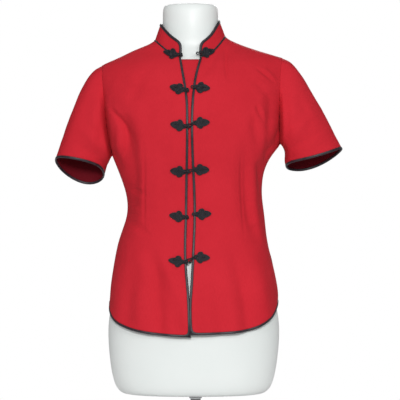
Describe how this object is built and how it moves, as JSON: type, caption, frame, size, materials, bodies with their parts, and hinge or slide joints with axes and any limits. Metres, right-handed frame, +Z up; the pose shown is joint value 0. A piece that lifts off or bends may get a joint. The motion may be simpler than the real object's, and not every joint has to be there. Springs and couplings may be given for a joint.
{
  "type": "cheongsam blouse on a dress form",
  "caption": "Short-sleeved red cheongsam blouse with a stand collar, dark bound edges and frog closures, worn by a white limbless dress form on a pole and round base.",
  "frame": {"origin": "centre of the underside of the stand's round base", "axes": "+Z up along the pole, the garment's front faces -Y, the wearer's left is +X"},
  "size_m": [0.5644, 0.3, 0.901],
  "materials": {
    "red_crepe": "matte crepe",
    "dark_satin": "satin",
    "frog_cord": "satin-covered cord",
    "white_form": "smooth satin",
    "chrome": "polished",
    "base_plate": "brushed"
  },
  "bodies": {
    "root": {"front_right": "red_crepe", "front_left": "red_crepe", "back": "red_crepe", "sleeve_right": "red_crepe", "sleeve_left": "red_crepe", "collar": "red_crepe", "underlap": "red_crepe", "front_binding_right": "dark_satin", "front_binding_left": "dark_satin", "back_binding": "dark_satin", "cuff_binding_right": "dark_satin", "cuff_binding_left": "dark_satin", "collar_binding": "dark_satin", "neck_piping": "dark_satin", "frog_1_leaf_right": "frog_cord", "frog_1_leaf_left": "frog_cord", "frog_1_knot": "frog_cord", "frog_1_loop": "frog_cord", "frog_2_leaf_right": "frog_cord", "frog_2_leaf_left": "frog_cord", "frog_2_knot": "frog_cord", "frog_2_loop": "frog_cord", "frog_3_leaf_right": "frog_cord", "frog_3_leaf_left": "frog_cord", "frog_3_knot": "frog_cord", "frog_3_loop": "frog_cord", "frog_4_leaf_right": "frog_cord", "frog_4_leaf_left": "frog_cord", "frog_4_knot": "frog_cord", "frog_4_loop": "frog_cord", "frog_5_leaf_right": "frog_cord", "frog_5_leaf_left": "frog_cord", "frog_5_knot": "frog_cord", "frog_5_loop": "frog_cord", "frog_6_leaf_right": "frog_cord", "frog_6_leaf_left": "frog_cord", "frog_6_knot": "frog_cord", "frog_6_loop": "frog_cord", "dress_form": "white_form", "ferrule": "chrome", "pole": "chrome", "stand_base": "base_plate"}
  },
  "joints": []
}
